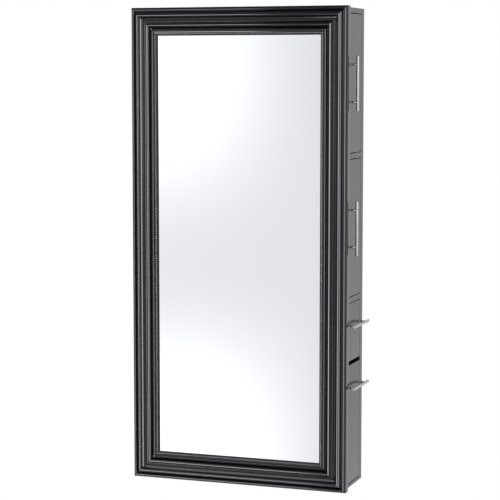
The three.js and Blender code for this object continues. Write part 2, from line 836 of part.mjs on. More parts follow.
// A spun cup that hangs by its rim, with the underside of the rim at Z = 0
function toolCup(radius) {
  const floor = cupRimHeight - cupHeight;
  const profile = [
    [0, floor],
    [radius, floor],
    [radius, 0],
    [radius + cupRimWidth, 0],
    [radius + cupRimWidth, cupRimHeight],
    [radius - cupWall, cupRimHeight],
    [radius - cupWall, floor + cupWall],
    [0, floor + cupWall],
  ].map(([across, up]) => new THREE.Vector2(across, up));
  return new THREE.LatheGeometry(profile, cupSides).rotateX(Math.PI / 2);
}

// Quadrant stay: a steel arc about the pivot axis that slides through a keeper.
// It stops the panel when open.
// Angles are turned inwards from straight up.
const traySweep = Math.hypot(trayDepth + boardThickness / 2, trayHeight + cupRimHeight);
const stayInner = traySweep + traySweepClearance + keeperMargin;
const stayOuter = stayInner + stayBandWidth;
const keeperFar = boardThickness / 2 + keeperSetback + keeperWidth;
const keeperFarAngle = Math.asin(keeperFar / stayOuter);
const stayTravel = THREE.MathUtils.degToRad(toolPanelOpenDegrees + stayOverrunDegrees);
const stayStopAngle = keeperFarAngle + stayTravel;
const stayTailAngle = stayStopAngle + stayStopLength / stayOuter;

function stayOutline() {
  const face = -boardThickness / 2;
  const neck = face - stayFootDepth;
  const upAt = (radius, x) => Math.sqrt(radius * radius - x * x);
  const turn = (radius, x) => Math.PI / 2 + Math.asin(-x / radius);
  const arcEnd = Math.PI / 2 + stayTailAngle;
  const stopStart = Math.PI / 2 + stayStopAngle;
  const stopCorner = (angle) => {
    const radius = stayOuter + stayStopRise;
    return [radius * Math.cos(angle), radius * Math.sin(angle)];
  };
  const outline = new THREE.Shape();
  outline.moveTo(face, upAt(stayInner, face) - stayFootLength);
  outline.lineTo(face, upAt(stayOuter, face) + stayFootLength);
  outline.lineTo(neck, upAt(stayOuter, neck) + stayFootLength);
  outline.absarc(0, 0, stayOuter, turn(stayOuter, neck), stopStart, false);
  outline.lineTo(...stopCorner(stopStart));
  outline.lineTo(...stopCorner(arcEnd));
  outline.absarc(0, 0, stayInner, arcEnd, turn(stayInner, neck), true);
  outline.lineTo(neck, upAt(stayInner, neck) - stayFootLength);
  return outline;
}

function addStay(group, panelFace, frontSide) {
  const near = frontSide + stayToFrontEdge;
  const stay = runAlongY(stayOutline(), near, near + stayThickness);
  add(group, 'quadrant_stay', stay, zincSteel);
}

// The keeper is a block on the front panel with a curved slot that the stay slides through
function addStayKeeper(group) {
  const nearX = doorPivotX - boardThickness / 2 - keeperSetback;
  const farX = nearX - keeperWidth;
  const arc = new THREE.Shape();
  const from = Math.PI / 2;
  const to = Math.PI / 2 + stayTailAngle;
  arc.absarc(0, 0, stayOuter + keeperClearance, from, to, false);
  arc.absarc(0, 0, stayInner - keeperClearance, to, from, true);
  const stayNear = frontEdge + stayToFrontEdge;
  const slot = runAlongY(arc, stayNear - keeperClearance, stayNear + stayThickness + keeperClearance);
  slot.translate(doorPivotX, 0, toolPivotZ);
  const lowest = Math.sqrt(stayInner * stayInner - keeperFar * keeperFar) - keeperMargin;
  const highest = stayOuter + keeperMargin;
  const body = block(
    [farX, nearX],
    [frontPanelRear, frontPanelRear + keeperHeight],
    [toolPivotZ + lowest, toolPivotZ + highest],
  );
  add(group, 'stay_keeper', cut(body, slot), blackPlastic);
}

// The whole station
const station = new THREE.Group();
addCarcass(station);
addSleeves(station);
addFrame(station);
addMirror(station);

const upperCatchHeight = (topUnderside + upperDividerTop) / 2 + catchRise;
const lowerCatchHeight = (upperDividerUnderside + middleDividerTop) / 2 + catchRise;
addCatch(station, 'upper_catch', upperCatchHeight);
addCatch(station, 'lower_catch', lowerCatchHeight);
station.add(makeDoor('upper_door', topUnderside, upperDividerTop));
station.add(makeDoor('lower_door', upperDividerUnderside, middleDividerTop));

addSlidePacker(station);
for (const member of ['outer', 'middle', 'inner']) {
  addSlideMembers(station, member);
}
station.add(makeDrawer());
addStayKeeper(station);
station.add(makeToolPanel());

export default station;
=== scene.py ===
"""Looks of a wall-hung salon styling station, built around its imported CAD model.

A tall mirror stands in a mitred black moulding with a row of beads beside the glass. Behind it is a shallow cabinet
in black laminate that opens at its right side. Sizes are in millimetres where a name says MM, otherwise in metres.
"""
import json
import math

import bmesh
import bpy
from mathutils import Matrix, Vector


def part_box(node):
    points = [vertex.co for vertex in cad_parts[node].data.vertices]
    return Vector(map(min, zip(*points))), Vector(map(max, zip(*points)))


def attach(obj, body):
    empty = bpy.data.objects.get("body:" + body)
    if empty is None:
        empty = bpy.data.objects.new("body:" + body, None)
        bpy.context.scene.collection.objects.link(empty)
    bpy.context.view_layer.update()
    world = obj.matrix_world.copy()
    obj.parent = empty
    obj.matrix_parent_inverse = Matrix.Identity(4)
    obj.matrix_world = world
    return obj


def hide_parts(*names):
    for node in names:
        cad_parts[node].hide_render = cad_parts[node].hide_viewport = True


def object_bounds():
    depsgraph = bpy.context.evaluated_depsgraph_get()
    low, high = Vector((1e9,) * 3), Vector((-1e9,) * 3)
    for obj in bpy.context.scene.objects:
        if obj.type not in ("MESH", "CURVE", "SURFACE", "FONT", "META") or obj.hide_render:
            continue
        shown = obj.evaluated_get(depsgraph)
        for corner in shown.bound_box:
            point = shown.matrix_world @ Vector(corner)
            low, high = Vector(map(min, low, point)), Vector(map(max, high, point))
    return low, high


MM = 0.001

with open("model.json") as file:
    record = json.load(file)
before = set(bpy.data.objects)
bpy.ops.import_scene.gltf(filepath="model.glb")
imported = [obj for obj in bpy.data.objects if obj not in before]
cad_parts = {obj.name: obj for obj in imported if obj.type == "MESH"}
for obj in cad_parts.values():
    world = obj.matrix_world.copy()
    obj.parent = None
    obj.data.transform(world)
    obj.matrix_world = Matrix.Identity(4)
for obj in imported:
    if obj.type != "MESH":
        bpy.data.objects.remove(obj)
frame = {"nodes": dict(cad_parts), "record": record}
cad_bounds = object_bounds()
nodes = frame["nodes"]
body_of_node = {
    node: body for body, members in frame["record"]["behaviour"]["bodies"].items() for node in members
}


# Colours and shader nodes

def linear(hex_colour):
    """An sRGB hex colour as the linear RGBA that a shader socket takes."""
    channels = [int(hex_colour[i:i + 2], 16) / 255 for i in (1, 3, 5)]
    straight = [c / 12.92 if c <= 0.04045 else ((c + 0.055) / 1.055) ** 2.4 for c in channels]
    return (*straight, 1.0)


def add_node(tree, kind, inputs=None, **settings):
    """Adds one shader or geometry node. An input is a value, or another node's output socket to link."""
    node = tree.nodes.new(kind)
    for name, value in settings.items():
        setattr(node, name, value)
    for socket, value in (inputs or {}).items():
        if isinstance(value, bpy.types.NodeSocket):
            tree.links.new(value, node.inputs[socket])
        else:
            node.inputs[socket].default_value = value
    return node


def new_material(name, **principled):
    """A material with one Principled shader, and its values set on the shader's own sockets."""
    material = bpy.data.materials.new(name)
    material.use_nodes = True
    tree = material.node_tree
    tree.nodes.clear()
    shader = add_node(tree, "ShaderNodeBsdfPrincipled", principled)
    output = add_node(tree, "ShaderNodeOutputMaterial")
    tree.links.new(shader.outputs["BSDF"], output.inputs["Surface"])
    return material, tree, shader


def place_on(tree, source="Object", scale=(1, 1, 1)):
    """Coordinates for a pattern, stretched by a scale per metre."""
    coordinates = add_node(tree, "ShaderNodeTexCoord")
    return add_node(
        tree, "ShaderNodeMapping", {"Vector": coordinates.outputs[source], "Scale": scale}
    ).outputs["Vector"]


def noise(tree, vector, cells_per_metre, detail=2.0, roughness=0.5):
    """Cloudy noise with a given number of cells in a metre."""
    return add_node(
        tree,
        "ShaderNodeTexNoise",
        {"Vector": vector, "Scale": cells_per_metre, "Detail": detail, "Roughness": roughness},
    ).outputs["Fac"]


def spread(tree, value, low, high):
    """Turns noise, which mostly lies between 0.3 and 0.7, into a low to high value."""
    return add_node(
        tree,
        "ShaderNodeMapRange",
        {"Value": value, "From Min": 0.3, "From Max": 0.7, "To Min": low, "To Max": high},
    ).outputs["Result"]


def blend_colours(tree, factor, first, second):
    """A colour between two hex colours."""
    mix = add_node(tree, "ShaderNodeMix", {"Factor": factor}, data_type="RGBA")
    mix.inputs["A"].default_value = linear(first)
    mix.inputs["B"].default_value = linear(second)
    return mix.outputs["Result"]


def relief(tree, shader, height, depth_mm, strength):
    """Bump on a shader from a height, with its real depth."""
    bump = add_node(
        tree, "ShaderNodeBump", {"Height": height, "Distance": depth_mm * MM, "Strength": strength}
    )
    tree.links.new(bump.outputs["Normal"], shader.inputs["Normal"])


# Materials

def black_laminate():
    """Melamine laminate pressed on particle board: black, with a satin face that gives a broad grey sheen."""
    material, tree, shader = new_material("melamine_laminate_pressed", **{"IOR": 1.52})
    place = place_on(tree)
    cloud = noise(tree, place, 9.0, 3.0)
    tree.links.new(blend_colours(tree, cloud, "#1b1c1f", "#212226"), shader.inputs["Base Color"])
    tree.links.new(spread(tree, noise(tree, place, 26.0, 3.0), 0.17, 0.23), shader.inputs["Roughness"])
    relief(tree, shader, noise(tree, place, 900.0, 2.0), 0.02, 0.35)
    return material


def worn_edge():
    """Edge band and arrises of the boards, rubbed a little paler and smoother by hands."""
    material, tree, shader = new_material("edge_band_rubbed", **{"IOR": 1.5})
    wear_and_sheen = noise(tree, place_on(tree), 60.0, 4.0, 0.65)
    tree.links.new(blend_colours(tree, wear_and_sheen, "#212226", "#3a3b3f"), shader.inputs["Base Color"])
    tree.links.new(spread(tree, wear_and_sheen, 0.36, 0.24), shader.inputs["Roughness"])
    return material


def black_lacquer():
    """Satin black lacquer sprayed on moulded timber: deep black with clear lines of light and faint orange peel."""
    material, tree, shader = new_material("satin_lacquer_sprayed", **{"IOR": 1.5})
    place = place_on(tree)
    cloud = noise(tree, place, 7.0, 2.0)
    tree.links.new(blend_colours(tree, cloud, "#08080a", "#0c0c0f"), shader.inputs["Base Color"])
    tree.links.new(spread(tree, noise(tree, place, 34.0, 3.0), 0.1, 0.14), shader.inputs["Roughness"])
    relief(tree, shader, noise(tree, place, 420.0, 1.0), 0.015, 0.3)
    return material


def silvered_glass():
    """Float glass silvered behind: a clean mirror with the faint green of iron in the glass."""
    material, _, _ = new_material(
        "float_glass_silvered",
        **{"Base Color": linear("#f4f7f8"), "Metallic": 1.0, "Roughness": 0.0},
    )
    return material


def raw_board():
    """Medium density fibreboard: felted brown fibres, sanded and not sealed."""
    material, tree, shader = new_material("fibreboard_sanded", **{"Roughness": 0.9})
    place = place_on(tree)
    fibres = noise(tree, place, 300.0, 5.0, 0.7)
    tree.links.new(blend_colours(tree, fibres, "#7c6247", "#a38865"), shader.inputs["Base Color"])
    relief(tree, shader, fibres, 0.05, 0.5)
    return material


def brushed_nickel():
    """Nickel plate brushed round the bar: warm grey, with fine rings that stretch each light along the bar."""
    material, tree, shader = new_material("nickel_plate_brushed", **{"Metallic": 1.0})
    rings = noise(tree, place_on(tree, "UV", (1.2, 1.0, 1.0)), 2600.0, 2.0)
    tree.links.new(blend_colours(tree, rings, "#aeaba5", "#c9c6c0"), shader.inputs["Base Color"])
    tree.links.new(spread(tree, rings, 0.2, 0.34), shader.inputs["Roughness"])
    relief(tree, shader, rings, 0.01, 0.25)
    return material


def zinc_steel():
    """Bright zinc plate on rolled steel: cool grey with a blotchy passivated bloom."""
    material, tree, shader = new_material("steel_zinc_plated", **{"Metallic": 1.0})
    place = place_on(tree)
    bloom = noise(tree, place, 90.0, 4.0, 0.6)
    tree.links.new(blend_colours(tree, bloom, "#9a9ea2", "#babdbf"), shader.inputs["Base Color"])
    tree.links.new(spread(tree, bloom, 0.28, 0.44), shader.inputs["Roughness"])
    return material


def turned_acetal():
    """Natural acetal turned on a lathe: milky white, waxy, with tool rings too fine to see."""
    material, tree, shader = new_material("acetal_turned", **{"Roughness": 0.45, "Subsurface Weight": 0.1})
    shade = noise(tree, place_on(tree), 200.0, 2.0)
    tree.links.new(blend_colours(tree, shade, "#d8d7cf", "#e4e3dc"), shader.inputs["Base Color"])
    return material


def bead_lacquer_painted_highlight():
    """The same lacquer on the beads, with a paler base colour as a painted highlight, so that each bead shows as a
    small light.
    """
    material, tree, shader = new_material("satin_lacquer_rubbed", **{"IOR": 1.6, "Specular IOR Level": 0.8})
    wear_and_sheen = noise(tree, place_on(tree), 160.0, 2.0)
    # Painted highlight: these base colours are paler than the frame's lacquer, so that the beads read as points of
    # light
    tree.links.new(blend_colours(tree, wear_and_sheen, "#1d1d20", "#38383d"), shader.inputs["Base Color"])
    tree.links.new(spread(tree, wear_and_sheen, 0.2, 0.12), shader.inputs["Roughness"])
    return material


def moulded_plastic():
    """Black ABS, injection moulded with a spark-eroded grain that dulls it."""
    material, tree, shader = new_material("abs_moulded", **{"IOR": 1.54})
    grain = noise(tree, place_on(tree), 1500.0, 2.0)
    tree.links.new(blend_colours(tree, grain, "#1d1e20", "#26272a"), shader.inputs["Base Color"])
    tree.links.new(spread(tree, grain, 0.45, 0.6), shader.inputs["Roughness"])
    relief(tree, shader, grain, 0.03, 0.5)
    return material


def powder_coat():
    """Black polyester powder coat on folded steel: a pebbled skin, softly matt."""
    material, tree, shader = new_material("powder_coat_textured", **{"IOR": 1.5})
    pebbles = noise(tree, place_on(tree), 800.0, 2.0)
    tree.links.new(blend_colours(tree, pebbles, "#17181a", "#202123"), shader.inputs["Base Color"])
    tree.links.new(spread(tree, pebbles, 0.5, 0.66), shader.inputs["Roughness"])
    relief(tree, shader, pebbles, 0.06, 0.6)
    return material


def spun_aluminium():
    """Aluminium spun on a lathe: pale grey with rings left by the roller."""
    material, tree, shader = new_material("aluminium_spun", **{"Metallic": 1.0})
    rings = noise(tree, place_on(tree, "UV", (0.6, 1.0, 1.0)), 1400.0, 2.0)
    tree.links.new(blend_colours(tree, rings, "#bfc2c5", "#d3d5d7"), shader.inputs["Base Color"])
    tree.links.new(spread(tree, rings, 0.24, 0.38), shader.inputs["Roughness"])
    relief(tree, shader, rings, 0.02, 0.3)
    return material


finish = {
    "black_laminate": black_laminate(),
    "black_lacquer": black_lacquer(),
    "silvered_glass": silvered_glass(),
    "raw_board": raw_board(),
    "brushed_nickel": brushed_nickel(),
    "zinc_steel": zinc_steel(),
    "acetal": turned_acetal(),
    "black_plastic": moulded_plastic(),
    "powder_coat": powder_coat(),
    "spun_aluminium": spun_aluminium(),
}
edge_finish = worn_edge()
# The beads' finish carries a painted highlight in its paler base colour
bead_finish_painted_highlight = bead_lacquer_painted_highlight()
slot_of_node = {part["node"]: part["material_slot"] for part in frame["record"]["subparts"]}


# Making pieces

# The UV map of a turned piece runs along it in metres, and this far round it
UV_ROUND = 0.03


def new_piece(name, mesh, materials, body, replaced=()):
    """A finished piece at the origin, riding on its body and taking the materials it is given."""
    mesh.materials.clear()
    for material in materials:
        mesh.materials.append(material)
    piece = bpy.data.objects.new(name, mesh)
    bpy.context.scene.collection.objects.link(piece)
    if replaced:
        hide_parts(*replaced)
    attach(piece, body)
    return piece


def mesh_from(name, rings, caps=True, uv_lengths=None):
    """A skin through closed rings of points. Each ring has as many points as the last one."""
    mesh = bpy.data.meshes.new(name)
    count = len(rings[0])
    points = [point for ring in rings for point in ring]
    faces = []
    for row in range(len(rings) - 1):
        for i in range(count):
            j = (i + 1) % count
            faces.append((row * count + i, row * count + j, (row + 1) * count + j, (row + 1) * count + i))
    if caps:
        faces.append(tuple(reversed(range(count))))
        faces.append(tuple(range((len(rings) - 1) * count, len(rings) * count)))
    mesh.from_pydata(points, [], faces)
    if uv_lengths is not None:
        layer = mesh.uv_layers.new(name="along")
        for face in mesh.polygons:
            columns = [mesh.loops[k].vertex_index % count for k in face.loop_indices]
            wraps = max(columns) - min(columns) > 1 and len(face.loop_indices) == 4
            for k, column in zip(face.loop_indices, columns):
                row = mesh.loops[k].vertex_index // count
                turn = column + count if wraps and column == 0 else column
                layer.data[k].uv = (turn / count * UV_ROUND, uv_lengths[row])
    return mesh


def face_outwards(mesh, merge=1e-7):
    """Merges doubles and turns every face outwards."""
    shell = bmesh.new()
    shell.from_mesh(mesh)
    bmesh.ops.remove_doubles(shell, verts=shell.verts, dist=merge)
    bmesh.ops.recalc_face_normals(shell, faces=shell.faces)
    shell.to_mesh(mesh)
    shell.free()


def smooth_between(mesh, degrees):
    """Smooth shading, with edges sharper than an angle kept crisp."""
    for face in mesh.polygons:
        face.use_smooth = True
    mesh.set_sharp_from_angle(angle=math.radians(degrees))


def joined(name, meshes):
    """One mesh out of several."""
    whole = bmesh.new()
    for mesh in meshes:
        whole.from_mesh(mesh)
    result = bpy.data.meshes.new(name)
    whole.to_mesh(result)
    whole.free()
    return result


# Boards and hardware: each CAD solid, copied and eased along its edges

MERGE = 2e-6
FLAT_DEGREES = 0.6
SHARP_DEGREES = 32
EASE_SEGMENTS = 2
BOARD_EASE_MM = 0.3
FRONT_EASE_MM = 0.25
PART_EASE_MM = 0.2


def eased_copy(node, ease_mm, name, edge_material=None, crisp_degrees=20):
    """Stands for a CAD node: its own shape, with every sharp edge rounded by a small radius."""
    shell = bmesh.new()
    shell.from_mesh(nodes[node].data)
    bmesh.ops.remove_doubles(shell, verts=shell.verts, dist=MERGE)
    bmesh.ops.dissolve_limit(
        shell, angle_limit=math.radians(FLAT_DEGREES), verts=shell.verts, edges=shell.edges
    )
    sharp = [
        edge for edge in shell.edges
        if edge.is_manifold and edge.calc_face_angle() > math.radians(SHARP_DEGREES)
    ]
    materials = [finish[slot_of_node[node]]]
    if edge_material is not None:
        materials.append(edge_material)
    bmesh.ops.bevel(
        shell,
        geom=sharp,
        offset=ease_mm * MM,
        offset_type="OFFSET",
        segments=EASE_SEGMENTS,
        profile=0.5,
        affect="EDGES",
        clamp_overlap=True,
        material=len(materials) - 1,
    )
    mesh = bpy.data.meshes.new(name)
    shell.to_mesh(mesh)
    shell.free()
    smooth_between(mesh, crisp_degrees)
    return new_piece(name, mesh, materials, body_of_node[node], [node])


boards = [
    "front_panel", "top_panel", "bottom_panel", "left_side_panel", "rear_stile", "back_panel",
    "inner_partition", "hanging_rail", "divider_upper", "divider_middle", "drawer_deck",
    "upper_shelf", "lower_shelf", "slide_packer", "drawer_side_front", "drawer_side_rear",
    "drawer_back", "drawer_bottom",
]
fronts = ["upper_door", "lower_door", "drawer_front", "tool_panel"]
hardware = [
    "upper_catch", "lower_catch", "stay_keeper", "upper_door_strike", "lower_door_strike",
    "drawer_slide_outer_front", "drawer_slide_outer_rear", "drawer_slide_middle_front",
    "drawer_slide_middle_rear", "drawer_slide_inner_front", "drawer_slide_inner_rear",
    "tool_tray", "quadrant_stay",
]
turned_parts = [
    "upper_pivot_bush", "middle_pivot_bush", "lower_pivot_bush", "tool_pivot_bush_front",
    "tool_pivot_bush_rear", "upper_door_top_pin", "upper_door_bottom_pin", "lower_door_top_pin",
    "lower_door_bottom_pin", "tool_pivot_pin_front", "tool_pivot_pin_rear",
]
for node in boards:
    eased_copy(node, BOARD_EASE_MM, f"{node}_board", edge_finish)
for node in fronts:
    eased_copy(node, FRONT_EASE_MM, f"{node}_face", edge_finish)
for node in hardware:
    eased_copy(node, PART_EASE_MM, f"{node}_part")
for node in turned_parts:
    eased_copy(node, PART_EASE_MM, f"{node}_part", crisp_degrees=30)
for node, slot in (("mirror_glass", "silvered_glass"), ("mirror_backing", "raw_board")):
    nodes[node].data.materials.clear()
    nodes[node].data.materials.append(finish[slot])


# Mirror frame: one moulding, run along four sides and mitred

EDGE_MM = 35
MOULDING_MM = 98
REBATE_MM = 8
SIGHT_MM = 23.3
BED_MM = 25.8
LIP_FALL_MM = 1.5
MITRE_GAP_MM = 0.3
CURVE_STEPS = 14
SOFTENING_MM = 0.45
SOFTENING_STEPS = 4
SOFTENING_DEGREES = 18


def moulding_members():
    """The section from the outer edge to the glass, as (across, height) in millimetres."""
    points = [(0, 0)]
    across = 0

    def half_round(width, base, crown):
        nonlocal across
        for i in range(CURVE_STEPS + 1):
            turn = math.pi * (1 - i / CURVE_STEPS)
            points.append((
                across + width / 2 + width / 2 * math.cos(turn),
                base + (crown - base) * math.sin(turn),
            ))
        across += width

    def curve(pull, pull_height, end, end_height):
        """A quadratic curve from the last point, drawn towards one point and ending at another."""
        start, start_height = points[-1]
        for i in range(1, CURVE_STEPS + 1):
            t = i / CURVE_STEPS
            early, middle, late = (1 - t) ** 2, 2 * t * (1 - t), t * t
            points.append((
                early * start + middle * pull + late * end,
                early * start_height + middle * pull_height + late * end_height,
            ))

    def swell(width, crown, foot, peak, fullness):
        """Rises from the last point to a crown part of the way over, and falls to the next member's foot."""
        nonlocal across
        top = across + width * peak
        end = across + width
        curve((across + top) / 2, crown, top, crown)
        curve(top + fullness * (end - top), crown, end, foot)
        across = end

    def hollow(width, floor):
        """Falls steeply from the last point and flattens out at a floor."""
        nonlocal across
        curve(across + 0.35 * width, floor + 1, across + width, floor)
        across += width

    def slope(width, first, last):
        nonlocal across
        points.append((across, first))
        across += width
        points.append((across, last))

    # Outer edge, its small bead and the groove beside it
    slope(5, EDGE_MM - 6, EDGE_MM - 2)
    half_round(6.5, EDGE_MM - 2, EDGE_MM + 1.5)
    slope(5.5, EDGE_MM - 5, EDGE_MM - 1)
    # Reed, cove and broad round
    swell(16.5, EDGE_MM + 12, EDGE_MM + 5, 0.64, 0.85)
    hollow(17, EDGE_MM - 5.5)
    swell(20.5, EDGE_MM + 4.5, EDGE_MM - 9, 0.56, 0.5)
    # Inner groove, inner bead, bed with a groove under the bead row, and the lip over the glass
    slope(4, EDGE_MM - 9.5, EDGE_MM - 13)
    across += 1.5
    half_round(6, BED_MM + 1, BED_MM + 6)
    slope(3.5, BED_MM, BED_MM)
    slope(4, BED_MM, BED_MM - 1.8)
    slope(4, BED_MM - 1.8, BED_MM)
    slope(4, BED_MM, BED_MM - LIP_FALL_MM)
    points.append((MOULDING_MM, SIGHT_MM))
    points.append((MOULDING_MM - REBATE_MM, SIGHT_MM))
    points.append((MOULDING_MM - REBATE_MM, 0))
    return [p for i, p in enumerate(points) if i == 0 or math.dist(p, points[i - 1]) > 1e-6]


def softened(points, radius):
    """A closed outline with its corners rounded, as sanding and lacquer leave them."""
    result = []
    for i, here in enumerate(points):
        before, after = Vector(points[i - 1]), Vector(points[(i + 1) % len(points)])
        here = Vector(here)
        back, forth = before - here, after - here
        bend = math.pi - back.angle(forth)
        if bend < math.radians(SOFTENING_DEGREES):
            result.append(here)
            continue
        reach = min(radius * math.tan(bend / 2), 0.45 * back.length, 0.45 * forth.length)
        start = here + back.normalized() * reach
        end = here + forth.normalized() * reach
        for step in range(SOFTENING_STEPS + 1):
            t = step / SOFTENING_STEPS
            result.append(start * (1 - t) ** 2 + here * 2 * t * (1 - t) + end * t * t)
    return result


frame_low, frame_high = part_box("frame_top")
frame_bottom_low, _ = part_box("frame_bottom")
FRAME_WIDTH = frame_high[0] - frame_low[0]
FRAME_HEIGHT = frame_high[2] - frame_bottom_low[2]
FRAME_BACK = frame_high[1]
section = softened(moulding_members(), SOFTENING_MM)


def moulding(side, length, reach, quarter_turns):
    """One side of the frame, from mitre to mitre."""
    turn = Matrix.Rotation(quarter_turns * math.pi / 2, 3, "Y")
    rings = []
    for end in (-1, 1):
        ring = []
        for across, height in section:
            along = end * (length / 2 - (across + MITRE_GAP_MM / 2) * MM)
            point = turn @ Vector((along, -height * MM, reach / 2 - across * MM))
            ring.append(point + Vector((0, FRAME_BACK, 0)))
        rings.append(ring)
    mesh = mesh_from(f"{side}_moulding", rings)
    face_outwards(mesh)
    smooth_between(mesh, 40)
    new_piece(f"{side}_moulding", mesh, [finish["black_lacquer"]], "root", [side])


moulding("frame_top", FRAME_WIDTH, FRAME_HEIGHT, 0)
moulding("frame_right", FRAME_HEIGHT, FRAME_WIDTH, 1)
moulding("frame_bottom", FRAME_WIDTH, FRAME_HEIGHT, 2)
moulding("frame_left", FRAME_HEIGHT, FRAME_WIDTH, 3)


# Bead row beside the glass, made by geometry nodes

BEAD_MM = 8
BEAD_LINE_MM = 90


def bead_row_tree():
    """A tree that strings beads along the four sides of a rectangle, a whole number to each side."""
    tree = bpy.data.node_groups.new("bead_row", "GeometryNodeTree")
    face = tree.interface
    for name, default in (("Row width", 0.6), ("Row height", 1.5), ("Bead diameter", 0.008)):
        socket = face.new_socket(name, in_out="INPUT", socket_type="NodeSocketFloat")
        socket.default_value = default
    face.new_socket("Finish", in_out="INPUT", socket_type="NodeSocketMaterial")
    face.new_socket("Geometry", in_out="OUTPUT", socket_type="NodeSocketGeometry")
    given = add_node(tree, "NodeGroupInput").outputs

    def maths(operation, first, second=0.0):
        return add_node(tree, "ShaderNodeMath", {0: first, 1: second}, operation=operation).outputs[0]

    def place(x, z):
        return add_node(tree, "ShaderNodeCombineXYZ", {"X": x, "Z": z}).outputs[0]

    half_width = maths("MULTIPLY", given["Row width"], 0.5)
    half_height = maths("MULTIPLY", given["Row height"], 0.5)
    minus_width = maths("MULTIPLY", given["Row width"], -0.5)
    minus_height = maths("MULTIPLY", given["Row height"], -0.5)
    corners = [
        (minus_width, half_height), (half_width, half_height),
        (half_width, minus_height), (minus_width, minus_height),
    ]
    join = add_node(tree, "GeometryNodeJoinGeometry")
    for i, (x, z) in enumerate(corners):
        side = given["Row width"] if i % 2 == 0 else given["Row height"]
        beads = maths("ROUND", maths("DIVIDE", side, given["Bead diameter"]))
        end_x, end_z = corners[(i + 1) % 4]
        line = add_node(
            tree,
            "GeometryNodeMeshLine",
            {"Count": maths("ADD", beads, 1.0), "Start Location": place(x, z), "Offset": place(end_x, end_z)},
            mode="END_POINTS",
        )
        tree.links.new(line.outputs["Mesh"], join.inputs["Geometry"])
    single = add_node(
        tree, "GeometryNodeMergeByDistance", {"Geometry": join.outputs[0], "Distance": 0.001}
    ).outputs[0]
    ball = add_node(
        tree,
        "GeometryNodeMeshUVSphere",
        {"Segments": 10, "Rings": 6, "Radius": maths("MULTIPLY", given["Bead diameter"], 0.5)},
    ).outputs["Mesh"]
    beads = add_node(tree, "GeometryNodeInstanceOnPoints", {"Points": single, "Instance": ball}).outputs[0]
    solid = add_node(tree, "GeometryNodeRealizeInstances", {"Geometry": beads}).outputs[0]
    smooth = add_node(tree, "GeometryNodeSetShadeSmooth", {"Geometry": solid}).outputs[0]
    dressed = add_node(
        tree, "GeometryNodeSetMaterial", {"Geometry": smooth, "Material": given["Finish"]}
    ).outputs[0]
    out = add_node(tree, "NodeGroupOutput")
    tree.links.new(dressed, out.inputs["Geometry"])
    return tree


def grown(name, tree, values, points=()):
    """The mesh that a geometry nodes tree makes from some points, with no modifier left."""
    seed = bpy.data.meshes.new(f"{name}_seed")
    seed.from_pydata(points, [], [])
    holder = bpy.data.objects.new(f"{name}_holder", seed)
    bpy.context.scene.collection.objects.link(holder)
    modifier = holder.modifiers.new(name, "NODES")
    modifier.node_group = tree
    identifier = {
        item.name: item.identifier for item in tree.interface.items_tree if item.in_out == "INPUT"
    }
    for label, value in values.items():
        modifier[identifier[label]] = value
    graph = bpy.context.evaluated_depsgraph_get()
    mesh = bpy.data.meshes.new_from_object(holder.evaluated_get(graph))
    mesh.name = name
    bpy.data.objects.remove(holder)
    bpy.data.meshes.remove(seed)
    return mesh


bead_mesh = grown("bead_row", bead_row_tree(), {
    "Row width": FRAME_WIDTH - 2 * BEAD_LINE_MM * MM,
    "Row height": FRAME_HEIGHT - 2 * BEAD_LINE_MM * MM,
    "Bead diameter": BEAD_MM * MM,
    "Finish": bead_finish_painted_highlight,
})
bead_mesh.transform(Matrix.Translation((0, FRAME_BACK - BED_MM * MM, 0)))
new_piece("bead_row", bead_mesh, [bead_finish_painted_highlight], "root")


# Bar pulls

PULL_SIDES = 48
POST_SIDES = 32
POST_SPACING = 0.128
BAR_RADIUS = 0.005
POST_RADIUS = 0.004
# A turned profile starts and ends this near its axis, where the cap closes it
NEAR_AXIS = 0.0001


def turned(name, profile, sides, frame_matrix, caps=True):
    """A solid of revolution about local Z, from (radius, height) points, with its lengths as a UV map."""
    lengths = [0.0]
    for (r0, h0), (r1, h1) in zip(profile, profile[1:]):
        lengths.append(lengths[-1] + math.hypot(r1 - r0, h1 - h0))
    rings = [
        [
            frame_matrix @ Vector((
                radius * math.cos(2 * math.pi * i / sides),
                radius * math.sin(2 * math.pi * i / sides),
                height,
            ))
            for i in range(sides)
        ]
        for radius, height in profile
    ]
    mesh = mesh_from(name, rings, caps=caps, uv_lengths=lengths)
    face_outwards(mesh, 1e-6)
    return mesh


